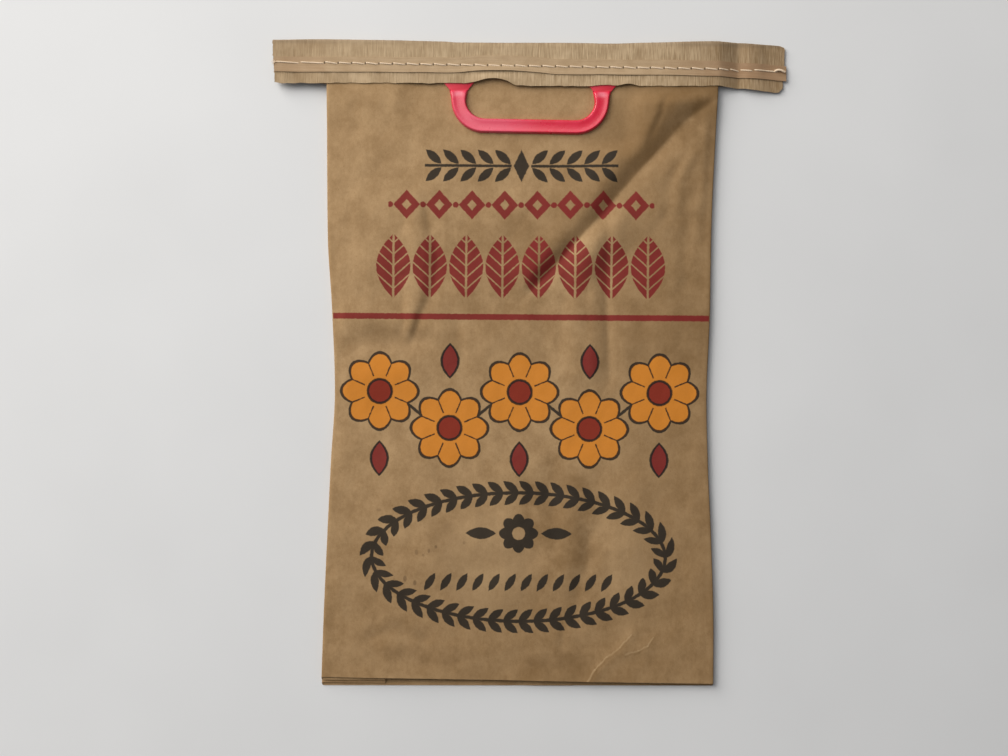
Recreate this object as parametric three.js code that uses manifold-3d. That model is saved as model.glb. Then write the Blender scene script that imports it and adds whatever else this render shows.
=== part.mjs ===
// Flat paper potato sack, lying on its back: a gusseted kraft paper tube with an open mouth, its other end
// sewn shut under a folded crepe tape that also holds a narrow pull strip and a moulded carrying handle.
// Millimetres, +Z up, +Y towards the sewn end. The origin is on the floor under the middle of the sack.
import * as THREE from 'three';
import { mergeVertices } from 'three/addons/utils/BufferGeometryUtils.js';
import Module from 'manifold-3d';

const { lerp, smoothstep } = THREE.MathUtils;

// Driving dimensions of the sack
const SACK_LENGTH = 463;
const SACK_TOP = SACK_LENGTH / 2;
const SHEET = 1;
const GAP = 0.3;

// The paper tube: four layers at its sides, where the gussets lie, and two between them
const TUBE_WIDTH = 280;
const TUBE_MIDDLE = -5;
const TUBE_LEFT = TUBE_MIDDLE - TUBE_WIDTH / 2;
const TUBE_RIGHT = TUBE_MIDDLE + TUBE_WIDTH / 2;
const TUBE_TOP = SACK_TOP - 7;
const GUSSET_DEPTH = 45;
const LAYER_PITCH = 1.4;
const FRONT_LAYER = 3;
const PANEL_SINK = 0.8;
const PANEL_SLOPE = 18;
const CREASE_ROOM = 1.6;
const CLOSURE_LIFT = SHEET + GAP;
const CLOSURE_RAMP = 35;

// How far the sides draw in along the sack
const SIDE_INSETS = [
  { y: -231, left: 0, right: 0 },
  { y: -196, left: 0.9, right: 0.1 },
  { y: -125, left: 3.5, right: 2.5 },
  { y: -75, left: 5.5, right: 5 },
  { y: -25, left: 8, right: 6.4 },
  { y: 36, left: 5.5, right: 4.5 },
  { y: 90, left: 2, right: 4 },
  { y: 197, left: 0.5, right: 0 },
];

// How far the back and the front stop short of the sack's lower end, at their left and right corners
const MOUTH_STEPS = { backLeft: 0, backRight: 1.8, frontLeft: 6.7, frontRight: 3.9 };

// Soft troughs and ridges of the front panel, each along a line, with half its width and its height
const CREASES = [
  { x0: 100, y0: 192, x1: 6, y1: 80, width: 17, height: 1.9 },
  { x0: 120, y0: 190, x1: 34, y1: 89, width: 10, height: -1.6 },
  { x0: 34, y0: 89, x1: 12, y1: 58, width: 10, height: -1.4 },
  { x0: -77, y0: 102, x1: -78, y1: 31, width: 10, height: -1.3 },
  { x0: -112, y0: 90, x1: -116, y1: 45, width: 22, height: 1.3 },
  { x0: -125, y0: -8, x1: -80, y1: -12, width: 16, height: 1.1 },
  { x0: 63, y0: 53, x1: 62, y1: 0, width: 11, height: 1.4 },
  { x0: 44, y0: 55, x1: 43, y1: 2, width: 10, height: -1.1 },
  { x0: 95, y0: 110, x1: 105, y1: 20, width: 24, height: 1.0 },
  { x0: 50, y0: -228, x1: 88, y1: -188, width: 11, height: 1.0 },
  { x0: -60, y0: -120, x1: 40, y1: -130, width: 40, height: 0.9 },
];

// The closing tape: a 64 mm crepe tape folded over the sewn end
const TAPE_LENGTH = 368;
const TAPE_BACK_DEPTH = 31;
const BACK_LEAF = SHEET / 2;

// Distances below the sack's top along the tape: its fold, the strip's lower edge and its own lower edge,
// then its back leaf's level, the height of the hollow between its leaves and how far its lower edge curls up
const TAPE_SECTIONS = [
  { x: -TAPE_LENGTH / 2, fold: 1.0, strip: 24.1, edge: 31.6, back: 3.7, hollow: 1.7, curl: 0.2 },
  { x: -178, fold: 1.0, strip: 24.1, edge: 32.1, back: 3.6, hollow: 1.6, curl: 0.1 },
  { x: -166, fold: 0.8, strip: 24.1, edge: 32.1, back: 2.9, hollow: 2.0, curl: 0.1 },
  { x: -157, fold: 0.6, strip: 24.0, edge: 32.0, back: 1.7, hollow: 3.6, curl: 0 },
  { x: -148, fold: 0, strip: 24.0, edge: 31.9, back: BACK_LEAF, hollow: 5.8, curl: 0 },
  { x: -98, fold: 0.8, strip: 23.9, edge: 31.5, back: BACK_LEAF, hollow: 5.8, curl: 0 },
  { x: -75, fold: 1.3, strip: 23.9, edge: 31.4, back: BACK_LEAF, hollow: 5.2, curl: 0 },
  { x: -52, fold: 1.6, strip: 23.7, edge: 31.3, back: BACK_LEAF, hollow: 5.2, curl: 0.2 },
  { x: -38, fold: 1.6, strip: 22.7, edge: 30.2, back: BACK_LEAF, hollow: 5.2, curl: 1.0 },
  { x: -25, fold: 1.6, strip: 22.1, edge: 27.8, back: BACK_LEAF, hollow: 5.2, curl: 1.8 },
  { x: -9, fold: 1.5, strip: 22.2, edge: 32.8, back: BACK_LEAF, hollow: 5.2, curl: 0.8 },
  { x: 20, fold: 1.3, strip: 24.6, edge: 33.0, back: BACK_LEAF, hollow: 5.2, curl: 0.2 },
  { x: 60, fold: 0.9, strip: 24.4, edge: 32.4, back: BACK_LEAF, hollow: 5.2, curl: 0.2 },
  { x: 73, fold: 0.7, strip: 24.4, edge: 31.0, back: BACK_LEAF, hollow: 5.3, curl: 0.7 },
  { x: 80, fold: 0.6, strip: 24.4, edge: 32.2, back: BACK_LEAF, hollow: 5.5, curl: 0 },
  { x: 92, fold: 0.5, strip: 24.4, edge: 32.2, back: BACK_LEAF, hollow: 5.8, curl: 0 },
  { x: 139, fold: 0, strip: 24.8, edge: 31.8, back: BACK_LEAF, hollow: 5.8, curl: 0 },
  { x: 149, fold: 0.7, strip: 25.2, edge: 32.6, back: BACK_LEAF, hollow: 1.2, curl: 0.3 },
  { x: 158, fold: 1.1, strip: 25.7, edge: 33.6, back: BACK_LEAF, hollow: 2.2, curl: 0.4 },
  { x: 170, fold: 1.4, strip: 26.4, edge: 34.9, back: BACK_LEAF, hollow: 0.7, curl: 0.2 },
  { x: 180, fold: 1.5, strip: 27.0, edge: 35.6, back: BACK_LEAF, hollow: 0.3, curl: 0.2 },
  { x: TAPE_LENGTH / 2, fold: 2.6, strip: 27.2, edge: 32.2, back: BACK_LEAF, hollow: 0.3, curl: 0.2 },
];

// The pull strip on the tape's front
const STRIP_WIDTH = 10.8;
const STRIP_SIDE_ROOM = 0.4;

// The handle: a bar and two legs of one shallow channel section, and a thin flange under the tape
const HANDLE_MIDDLE = 1;
const HANDLE_LEVEL = 4.7;
const HANDLE_HEIGHT = 3;
const BAR_Y = 169.95;
const BAR_HALF = 5.25;
const LEG_X = 51.2;
const LEG_HALF = 5.4;
const CORNER_RADIUS = 18.5;
const NECK_Y = BAR_Y + CORNER_RADIUS;
const HINGE_Y = 195.3;
const FLANGE_HEIGHT = 1.2;
const FLANGE_HALF_LENGTH = 64;
const FLANGE_LOW = 207;
const FLANGE_TOP = 217;
const HANDLE_CLEARANCE = 20;

// The handle's section: shares of its half width and of its height, from one side to the other
const HANDLE_SECTION = [
  { across: 1, top: 0.6, bottom: 0.1 },
  { across: 0.85, top: 1, bottom: 0 },
  { across: 0.7, top: 1, bottom: 0 },
  { across: 0.3, top: 0.93, bottom: 0 },
  { across: -0.3, top: 0.93, bottom: 0 },
  { across: -0.7, top: 1, bottom: 0 },
  { across: -0.85, top: 1, bottom: 0 },
  { across: -1, top: 0.6, bottom: 0.1 },
];

// The leg from inside its flange down to its neck, where the corner begins
const LEG_SECTIONS = [
  { y: HINGE_Y + 0.9, half: 6.0, low: 0.15, height: FLANGE_HEIGHT - 0.3 },
  { y: HINGE_Y - 0.9, half: 6.2, low: 0, height: 2.3 },
  { y: HINGE_Y - 2.8, half: 5.8, low: 0, height: HANDLE_HEIGHT },
  { y: NECK_Y + 1.6, half: 5.5, low: 0, height: HANDLE_HEIGHT },
];

// The flared tongue from the flange down to the leg: where it is that wide, and half its width
const TONGUE_SECTIONS = [
  { y: FLANGE_LOW, half: 12 },
  { y: HINGE_Y + 8.1, half: 11.4 },
  { y: HINGE_Y + 5.5, half: 10.2 },
  { y: HINGE_Y + 3.5, half: 8.6 },
  { y: HINGE_Y + 1.7, half: 7.2 },
  { y: HINGE_Y, half: 6.4 },
];

// Steps of the meshes
const TUBE_STATIONS = 34;
const FRONT_STEPS = 28;
const BACK_STEPS = 6;
const LEAF_STEPS = 2;
const FOLD_STEPS = 3;
const TAPE_STEP = 8;
const TAPE_FOLD_STEPS = 6;
const TAPE_BACK_STEPS = 2;
const CORNER_STEPS = 7;

// A column of a table at any place along its key, easing from row to row
function readTable(table, key, at, column) {
  const after = table.findIndex((row) => row[key] >= at);
  if (after === 0) return table[0][column];
  if (after < 0) return table.at(-1)[column];
  const share = smoothstep(at, table[after - 1][key], table[after][key]);
  return lerp(table[after - 1][column], table[after][column], share);
}

// The points half a sheet outside and inside a section line, which lies in the plane of one axis and Z
function thicken(line, axis, wraps) {
  const last = line.length - 1;
  const edgeNormal = (from, to) => {
    const along = to[axis] - from[axis];
    const up = to.z - from.z;
    return new THREE.Vector2(up, -along).normalize();
  };
  const outer = [];
  const inner = [];
  line.forEach((point, i) => {
    const before = line[i > 0 ? i - 1 : last];
    const after = line[i < last ? i + 1 : 0];
    const openStart = !wraps && i === 0;
    const openEnd = !wraps && i === last;
    const first = openStart ? edgeNormal(point, after) : edgeNormal(before, point);
    const second = openEnd ? first : edgeNormal(point, after);
    const normal = first.clone().add(second).normalize();
    const reach = SHEET / 2 / normal.dot(first);
    const shift = new THREE.Vector3();
    shift[axis] = normal.x * reach;
    shift.z = normal.y * reach;
    outer.push(point.clone().add(shift));
    inner.push(point.clone().sub(shift));
  });
  return { outer, inner };
}

// A closed sheet between two grids of points, with its rims; it may wrap round into a tube
function sheetSolid(sections, wraps) {
  const rows = sections.length;
  const columns = sections[0].outer.length;
  const points = [...sections.map((each) => each.outer), ...sections.map((each) => each.inner)].flat();
  const outer = (i, j) => i * columns + (j % columns);
  const inner = (i, j) => (rows + i) * columns + (j % columns);
  const indices = [];
  const quad = (a, b, c, d) => indices.push(a, b, c, a, c, d);
  const spans = wraps ? columns : columns - 1;
  for (let j = 0; j < spans; j += 1) {
    for (let i = 0; i < rows - 1; i += 1) {
      quad(outer(i, j), outer(i, j + 1), outer(i + 1, j + 1), outer(i + 1, j));
      quad(inner(i, j), inner(i + 1, j), inner(i + 1, j + 1), inner(i, j + 1));
    }
    quad(outer(0, j), inner(0, j), inner(0, j + 1), outer(0, j + 1));
    quad(outer(rows - 1, j), outer(rows - 1, j + 1), inner(rows - 1, j + 1), inner(rows - 1, j));
  }
  for (let i = 0; i < rows - 1 && !wraps; i += 1) {
    const end = columns - 1;
    quad(outer(i, 0), outer(i + 1, 0), inner(i + 1, 0), inner(i, 0));
    quad(outer(i, end), inner(i, end), inner(i + 1, end), outer(i + 1, end));
  }
  const geometry = new THREE.BufferGeometry().setFromPoints(points);
  geometry.setIndex(indices);
  return geometry;
}

// Share of the way from the flat sack into the closure, where the tube lies on the tape's back leaf
function closureShare(y) {
  const start = SACK_TOP - TAPE_BACK_DEPTH - 2;
  return smoothstep(y, start - CLOSURE_RAMP, start);
}

// Share of the way from over a gusset to the middle of the front panel
function middleShare(x, left, right) {
  const fromFold = Math.min(x - left, right - x) - GUSSET_DEPTH - 3 * SHEET;
  return smoothstep(fromFold, 0, PANEL_SLOPE);
}

// Height of the front panel's creases, none of them under the handle or the tape
function creaseHeight(x, y) {
  let height = 0;
  for (const crease of CREASES) {
    const line = new THREE.Line3(
      new THREE.Vector3(crease.x0, crease.y0, 0),
      new THREE.Vector3(crease.x1, crease.y1, 0),
    );
    const point = new THREE.Vector3(x, y, 0);
    const offset = line.closestPointToPoint(point, true, new THREE.Vector3()).distanceTo(point);
    height += crease.height * Math.exp(-((offset / crease.width) ** 2));
  }
  const beside = Math.max(Math.abs(x - HANDLE_MIDDLE) - FLANGE_HALF_LENGTH, 0);
  const below = Math.max(BAR_Y - BAR_HALF - y, 0);
  const handleFade = smoothstep(Math.hypot(beside, below), 2, HANDLE_CLEARANCE);
  const tapeFade = 1 - smoothstep(y, SACK_TOP - 52, SACK_TOP - 36);
  return height * handleFade * tapeFade;
}

// The tube's section line at a share of the way from its sewn end to its mouth: back, right gusset, front,
// left gusset
function tubeSection(share) {
  const level = lerp(TUBE_TOP, -SACK_TOP, share);
  const left = TUBE_LEFT + readTable(SIDE_INSETS, 'y', level, 'left');
  const right = TUBE_RIGHT - readTable(SIDE_INSETS, 'y', level, 'right');
  const lift = CLOSURE_LIFT * closureShare(level);
  const base = SHEET / 2 + lift;
  const fold = LAYER_PITCH / 2;
  const line = [];

  const addPoint = (x, z, layer) => {
    const across = (x - left) / (right - left);
    const backStep = lerp(MOUTH_STEPS.backLeft, MOUTH_STEPS.backRight, across);
    const frontStep = lerp(MOUTH_STEPS.frontLeft, MOUTH_STEPS.frontRight, across);
    const mouth = -SACK_TOP + lerp(backStep, frontStep, layer / FRONT_LAYER);
    line.push(new THREE.Vector3(x, lerp(TUBE_TOP, mouth, share), z));
  };
  const run = (from, to, steps, layer) => {
    for (let i = 0; i <= steps; i += 1) {
      addPoint(lerp(from, to, i / steps), base + layer * LAYER_PITCH, layer);
    }
  };
  const turn = (x, from, to, side) => {
    for (let i = 1; i < FOLD_STEPS; i += 1) {
      const angle = (Math.PI * i) / FOLD_STEPS;
      const layer = lerp(from, to, (1 - Math.cos(angle)) / 2);
      addPoint(x + side * fold * Math.sin(angle), base + layer * LAYER_PITCH, layer);
    }
  };
  const rightEdge = right - fold;
  const leftEdge = left + fold;
  const rightInner = right - GUSSET_DEPTH;
  const leftInner = left + GUSSET_DEPTH;

  run(leftEdge, rightEdge, BACK_STEPS, 0);
  turn(rightEdge, 0, 1, 1);
  run(rightEdge, rightInner, LEAF_STEPS, 1);
  turn(rightInner, 1, 2, -1);
  run(rightInner, rightEdge, LEAF_STEPS, 2);
  turn(rightEdge, 2, FRONT_LAYER, 1);
  const frontStart = line.length;
  run(rightEdge, leftEdge, FRONT_STEPS, FRONT_LAYER);
  const frontEnd = line.length;
  turn(leftEdge, FRONT_LAYER, 2, -1);
  run(leftEdge, leftInner, LEAF_STEPS, 2);
  turn(leftInner, 2, 1, 1);
  run(leftInner, leftEdge, LEAF_STEPS, 1);
  turn(leftEdge, 1, 0, -1);

  for (const point of line.slice(frontStart, frontEnd)) {
    const middle = middleShare(point.x, left, right);
    const crease = Math.max(creaseHeight(point.x, point.y), -CREASE_ROOM * middle);
    const fromEdge = Math.min(rightEdge - point.x, point.x - leftEdge);
    point.z += crease * smoothstep(fromEdge, 0, TUBE_WIDTH / FRONT_STEPS) - (PANEL_SINK + lift) * middle;
  }
  return line;
}

function paperTube() {
  const sections = [];
  for (let i = 0; i <= TUBE_STATIONS; i += 1) {
    sections.push(thicken(tubeSection(i / TUBE_STATIONS), 'x', true));
  }
  return sheetSolid(sections, true);
}

// The places along the tape where it is worked out: each row of its table and even steps between the rows
function tapeStations() {
  const stations = [];
  TAPE_SECTIONS.slice(1).forEach((row, i) => {
    const from = TAPE_SECTIONS[i].x;
    const steps = Math.ceil((row.x - from) / TAPE_STEP);
    for (let k = 0; k < steps; k += 1) stations.push(lerp(from, row.x, k / steps));
  });
  return [...stations, TAPE_SECTIONS.at(-1).x];
}

// Heights and edges of the tape at one place along it
function tapeAt(x) {
  const read = (column) => readTable(TAPE_SECTIONS, 'x', x, column);
  const back = read('back');
  const level = back + SHEET + read('hollow');
  const stripLow = SACK_TOP - read('strip');
  return {
    top: SACK_TOP - read('fold'),
    back,
    level,
    stripLow,
    stripHigh: stripLow + STRIP_WIDTH,
    edge: SACK_TOP - read('edge'),
    edgeLevel: level + read('curl'),
  };
}

function closingTape() {
  const sections = tapeStations().map((x) => {
    const tape = tapeAt(x);
    const radius = (tape.level - tape.back) / 2;
    const foldY = tape.top - SHEET / 2 - radius;
    const backEdge = SACK_TOP - TAPE_BACK_DEPTH;
    const line = [];
    for (let i = 0; i < TAPE_BACK_STEPS; i += 1) {
      line.push(new THREE.Vector3(x, lerp(backEdge, foldY, i / TAPE_BACK_STEPS), tape.back));
    }
    for (let i = 0; i <= TAPE_FOLD_STEPS; i += 1) {
      const angle = (Math.PI * i) / TAPE_FOLD_STEPS;
      const z = tape.back + radius * (1 - Math.cos(angle));
      line.push(new THREE.Vector3(x, foldY + radius * Math.sin(angle), z));
    }
    line.push(new THREE.Vector3(x, tape.stripHigh + STRIP_SIDE_ROOM, tape.level));
    line.push(new THREE.Vector3(x, tape.stripLow - STRIP_SIDE_ROOM, tape.level));
    line.push(new THREE.Vector3(x, tape.edge, tape.edgeLevel));
    return thicken(line, 'y', false);
  });
  return sheetSolid(sections, false);
}

function pullStrip() {
  const sections = tapeStations().map((x) => {
    const tape = tapeAt(x);
    const z = tape.level + SHEET + GAP;
    const line = [new THREE.Vector3(x, tape.stripHigh, z), new THREE.Vector3(x, tape.stripLow, z)];
    return thicken(line, 'y', false);
  });
  return sheetSolid(sections, false);
}

// One station of the handle's bar or leg: where its middle is, which way it runs and how large it is there
function handleStation(x, y, direction, half, low, height) {
  const side = new THREE.Vector2(direction.y, -direction.x);
  const place = (row, rise) => new THREE.Vector3(
    HANDLE_MIDDLE + x + side.x * row.across * half,
    y + side.y * row.across * half,
    HANDLE_LEVEL + low + rise * height,
  );
  const section = [...HANDLE_SECTION].reverse();
  return {
    outer: section.map((row) => place(row, row.top)),
    inner: section.map((row) => place(row, row.bottom)),
  };
}

// The U of the handle, from the left leg round the bar to the right leg
function handleBail() {
  const stations = [];
  const down = new THREE.Vector2(0, -1);
  const up = new THREE.Vector2(0, 1);
  for (const leg of LEG_SECTIONS) {
    stations.push(handleStation(-LEG_X, leg.y, down, leg.half, leg.low, leg.height));
  }
  for (const side of [-1, 1]) {
    for (let i = 0; i <= CORNER_STEPS; i += 1) {
      const turn = side < 0 ? i / CORNER_STEPS : 1 - i / CORNER_STEPS;
      const angle = (Math.PI / 2) * turn;
      const x = side * (LEG_X - CORNER_RADIUS + CORNER_RADIUS * Math.cos(angle));
      const y = BAR_Y + CORNER_RADIUS - CORNER_RADIUS * Math.sin(angle);
      const direction = new THREE.Vector2(Math.sin(angle), side * Math.cos(angle));
      stations.push(handleStation(x, y, direction, lerp(LEG_HALF, BAR_HALF, turn), 0, HANDLE_HEIGHT));
    }
  }
  for (const leg of [...LEG_SECTIONS].reverse()) {
    stations.push(handleStation(LEG_X, leg.y, up, leg.half, leg.low, leg.height));
  }
  return sheetSolid(stations, false);
}

// The flat flange: a bar under the tape with a flared tongue down to each leg
function handleFlange() {
  const shape = new THREE.Shape();
  shape.moveTo(-FLANGE_HALF_LENGTH, FLANGE_TOP);
  shape.lineTo(-FLANGE_HALF_LENGTH, FLANGE_LOW);
  for (const middle of [-LEG_X, LEG_X]) {
    for (const tongue of TONGUE_SECTIONS) shape.lineTo(middle - tongue.half, tongue.y);
    for (const tongue of [...TONGUE_SECTIONS].reverse()) shape.lineTo(middle + tongue.half, tongue.y);
  }
  shape.lineTo(FLANGE_HALF_LENGTH, FLANGE_LOW);
  shape.lineTo(FLANGE_HALF_LENGTH, FLANGE_TOP);
  const flange = new THREE.ExtrudeGeometry(shape, { depth: FLANGE_HEIGHT, bevelEnabled: false });
  return flange.translate(HANDLE_MIDDLE, 0, HANDLE_LEVEL);
}

const wasm = await Module();
wasm.setup();

function toSolid(geometry) {
  geometry.deleteAttribute('normal');
  geometry.deleteAttribute('uv');
  const merged = mergeVertices(geometry);
  return new wasm.Manifold(new wasm.Mesh({
    numProp: 3,
    vertProperties: new Float32Array(merged.attributes.position.array),
    triVerts: new Uint32Array(merged.index.array),
  }));
}

function handle() {
  const joined = toSolid(handleBail()).add(toSolid(handleFlange())).getMesh();
  const geometry = new THREE.BufferGeometry();
  geometry.setAttribute('position', new THREE.BufferAttribute(joined.vertProperties, 3));
  geometry.setIndex(new THREE.BufferAttribute(joined.triVerts, 1));
  return geometry;
}

// The assembled sack
const kraftPaper = new THREE.MeshStandardMaterial({ color: '#a0815c', roughness: 0.85, metalness: 0 });
const crepePaper = new THREE.MeshStandardMaterial({ color: '#b29a78', roughness: 0.9, metalness: 0 });
const stripPaper = new THREE.MeshStandardMaterial({ color: '#b49b7a', roughness: 0.85, metalness: 0 });
const redPlastic = new THREE.MeshStandardMaterial({ color: '#da505e', roughness: 0.4, metalness: 0 });

const group = new THREE.Group();
const pieces = [
  { name: 'paper_tube', geometry: paperTube(), material: kraftPaper },
  { name: 'closing_tape', geometry: closingTape(), material: crepePaper },
  { name: 'pull_strip', geometry: pullStrip(), material: stripPaper },
  { name: 'handle', geometry: handle(), material: redPlastic },
];
for (const piece of pieces) {
  piece.geometry.computeVertexNormals();
  const mesh = new THREE.Mesh(piece.geometry, piece.material);
  mesh.name = piece.name;
  group.add(mesh);
}

export default group;
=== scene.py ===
import math
from functools import partialmethod

import bpy
import numpy as np
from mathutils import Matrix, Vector


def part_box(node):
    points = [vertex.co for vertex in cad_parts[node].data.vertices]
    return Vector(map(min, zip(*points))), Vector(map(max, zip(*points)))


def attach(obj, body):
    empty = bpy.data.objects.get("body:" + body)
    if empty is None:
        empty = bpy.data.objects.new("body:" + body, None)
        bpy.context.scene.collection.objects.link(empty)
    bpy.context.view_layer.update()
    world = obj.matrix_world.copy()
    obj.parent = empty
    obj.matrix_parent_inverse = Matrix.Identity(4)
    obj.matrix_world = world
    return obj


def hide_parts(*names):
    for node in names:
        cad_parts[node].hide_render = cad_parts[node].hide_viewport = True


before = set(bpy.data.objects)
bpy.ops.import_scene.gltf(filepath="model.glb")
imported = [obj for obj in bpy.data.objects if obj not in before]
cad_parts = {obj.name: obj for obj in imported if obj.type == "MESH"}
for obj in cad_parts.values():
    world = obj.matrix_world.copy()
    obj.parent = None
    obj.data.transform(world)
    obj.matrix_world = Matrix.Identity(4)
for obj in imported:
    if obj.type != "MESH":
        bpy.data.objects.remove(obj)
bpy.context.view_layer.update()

# The room
# A plain pale floor carries the sack. One large soft light stands at its upper left, as a window would, two
# weak ones hang over its sewn end, and the room adds a dim even light. The camera looks straight down.
MM = 0.001
FLOOR_SIZE = 8
FLOOR_DEPTH = -0.0001
ROOM_LIGHT = (0.92, 0.95, 1, 1)
ROOM_STRENGTH = 0.18
LIGHT_COLOUR = (1, 0.97, 0.93)
VIEW_CENTRE = Vector((-0.0163, -0.01, 0))
VIEW_HEIGHT = 1.006
VIEW_ROLL = math.radians(0.45)

# The lights: place, size and power
LIGHTS = (
    ((-1.95, 1.65, 1.6), 2.6, 134),
    ((-0.32, 0.45, 1.45), 0.56, 2.8),
    ((0.05, 0.86, 1.45), 0.36, 1.4),
)


class Shade:
    """A value in a material, with arithmetic that adds Math nodes to the material's tree."""

    def __init__(self, tree, socket=None):
        self.tree = tree
        self.socket = socket

    def node(self, kind, settings=None, inputs=None, output=0):
        made = self.tree.nodes.new(kind)
        for name, value in (settings or {}).items():
            setattr(made, name, value)
        for key, value in (inputs or {}).items():
            if isinstance(value, Shade):
                self.tree.links.new(value.socket, made.inputs[key])
            else:
                made.inputs[key].default_value = value
        return Shade(self.tree, made.outputs[output])

    def math(self, operation, *others):
        values = dict(enumerate((self, *others)))
        return self.node("ShaderNodeMath", {"operation": operation}, values)

    __add__ = partialmethod(math, "ADD")
    __sub__ = partialmethod(math, "SUBTRACT")
    __mul__ = partialmethod(math, "MULTIPLY")
    __rmul__ = partialmethod(math, "MULTIPLY")
    __truediv__ = partialmethod(math, "DIVIDE")
    __mod__ = partialmethod(math, "FLOORED_MODULO")
    __abs__ = partialmethod(math, "ABSOLUTE")
    least = partialmethod(math, "MINIMUM")
    most = partialmethod(math, "MAXIMUM")
    root = partialmethod(math, "SQRT")
    sine = partialmethod(math, "SINE")
    cosine = partialmethod(math, "COSINE")
    angle_to = partialmethod(math, "ARCTAN2")

    def __rsub__(self, other):
        return self.node("ShaderNodeMath", {"operation": "SUBTRACT"}, {0: other, 1: self})

    def ramp(self, low, high):
        """0 at low and 1 at high, level beyond both."""
        inputs = {"Value": self, "From Min": low, "From Max": high}
        return self.node("ShaderNodeMapRange", {"interpolation_type": "SMOOTHSTEP"}, inputs)

    def mix(self, first, second):
        """The first colour where this is 0 and the second where it is 1."""
        return self.node("ShaderNodeMix", {"data_type": "RGBA"}, {0: self, 6: first, 7: second}, 2)

    def place(self):
        return self.node("ShaderNodeTexCoord", output="Object")

    def web(self):
        return self.node("ShaderNodeUVMap", {"uv_map": "web"})

    def parts(self):
        split = self.node("ShaderNodeSeparateXYZ", inputs={0: self}).socket.node
        return [Shade(self.tree, socket) for socket in split.outputs]

    def stretched(self, x, y):
        """This place with its first two parts multiplied."""
        return self.node("ShaderNodeVectorMath", {"operation": "MULTIPLY"}, {0: self, 1: (x, y, 1)})

    def noise(self, scale, detail=2, rough=0.5):
        inputs = {"Vector": self, "Scale": scale, "Detail": detail, "Roughness": rough}
        return self.node("ShaderNodeTexNoise", inputs=inputs)

    def bump(self, depth, strength):
        inputs = {"Height": self, "Distance": depth * MM, "Strength": strength}
        return self.node("ShaderNodeBump", inputs=inputs)


def colour(red, green, blue):
    """A colour given as it shows on a screen, from 0 to 255, as the shader's linear numbers."""
    shares = (channel / 255 for channel in (red, green, blue))
    return tuple(s / 12.92 if s <= 0.04045 else ((s + 0.055) / 1.055) ** 2.4 for s in shares) + (1,)


def new_material(name, **constants):
    """A material, the start of its maths, and a function that feeds a socket of its shader."""
    material = bpy.data.materials.new(name)
    material.use_nodes = True
    shader = material.node_tree.nodes["Principled BSDF"]
    for socket, value in constants.items():
        shader.inputs[socket.replace("_", " ")].default_value = value

    def feed(socket, value):
        material.node_tree.links.new(value.socket, shader.inputs[socket])

    return material, Shade(material.node_tree), feed


bpy.ops.mesh.primitive_plane_add(size=FLOOR_SIZE, location=(0, 0, FLOOR_DEPTH))
floor = bpy.context.object
floor.name = "floor"
floor_paint, shade, feed = new_material("pale_floor", Roughness=0.9)
feed("Base Color", shade.place().noise(9).mix(colour(211, 212, 213), colour(219, 220, 221)))
floor.data.materials.append(floor_paint)

for place, size, power in LIGHTS:
    bpy.ops.object.light_add(type="AREA", location=place)
    light = bpy.context.object
    light.rotation_euler = (-Vector(place)).to_track_quat("-Z", "Y").to_euler()
    light.data.size = size
    light.data.energy = power
    light.data.color = LIGHT_COLOUR

room = bpy.data.worlds.new("room")
room.use_nodes = True
room.node_tree.nodes["Background"].inputs["Color"].default_value = ROOM_LIGHT
room.node_tree.nodes["Background"].inputs["Strength"].default_value = ROOM_STRENGTH
bpy.context.scene.world = room
bpy.context.scene.view_settings.view_transform = "Standard"

bpy.ops.object.camera_add(location=VIEW_CENTRE + Vector((0, 0, VIEW_HEIGHT)), rotation=(0, 0, VIEW_ROLL))
camera = bpy.context.object
camera.data.lens = 50
camera.data.clip_start = 0.01
bpy.context.scene.camera = camera

# The kraft paper sack
# One web of brown kraft paper, folded into a flat tube with a gusset pressed in at each side and glued along
# a lap seam down its back. It is cut off at the mouth and was crumpled softly where hands took hold of it.
PAPER = 0.4
LAYER_PITCH = 1.4
FRONT_LAYER = 3
SIDE_FOLD = LAYER_PITCH / 2 + 0.3
SIDE_STIFFNESS = 9
GUSSET_DEPTH = 45
GUSSET_ROOM = 3
BACK_LEVEL = 0.22
FRONT_MIDDLE_LEVEL = 4.3
PANEL_SLOPE = 18
CLOSURE_LIFT = 1.45
CLOSURE_DROP = 33
CLOSURE_RAMP = 35
LAP_X = 12
LAP_WIDTH = 22
LAP_RISE = 0.45
LIP_RISE = 1.1
LIP_REACH = 14
tube_low, tube_high = (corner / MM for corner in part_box("paper_tube"))
tape_low, tape_high = (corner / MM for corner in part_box("closing_tape"))
handle_low, handle_high = (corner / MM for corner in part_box("handle"))
SACK_TOP = tape_high.y
MOUTH_Y = tube_low.y
TUBE_TOP = tube_high.y
TUBE_MIDDLE = (tube_low.x + tube_high.x) / 2
HANDLE_MIDDLE = (handle_low.x + handle_high.x) / 2

# Steps of the mesh: stations along the sack, closer in its upper share, and columns across front and lap
UPPER_STATIONS = 107
LOWER_STATIONS = 84
UPPER_SHARE = 0.45
FRONT_STEPS = 150
LAP_STEPS = 11

# How far the sides draw in, at places along the sack
SIDE_PLACES = (-231, -196, -125, -75, -25, 36, 90, 197)
LEFT_INSETS = (0, 0.9, 3.5, 5.5, 8, 5.5, 2, 0.5)
RIGHT_INSETS = (0, 0.1, 2.5, 5, 6.4, 4.5, 4, 0)

# How far the back and the front stop short of the mouth's lowest corner, at the left and at the right
BACK_STEP = (0, 1.8)
FRONT_STEP = (6.7, 3.9)

# How far the front may sink over the gussets, how much more between them, how much less for each millimetre
# that the closure lifts the tube, and the share by which each layer follows, from the back up
SINK_OVER_GUSSETS = 1.7
SINK_BETWEEN = 0.8
SINK_LOST = 0.6
LAYER_SINK = (0, 0.25, 0.6, 1)

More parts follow.
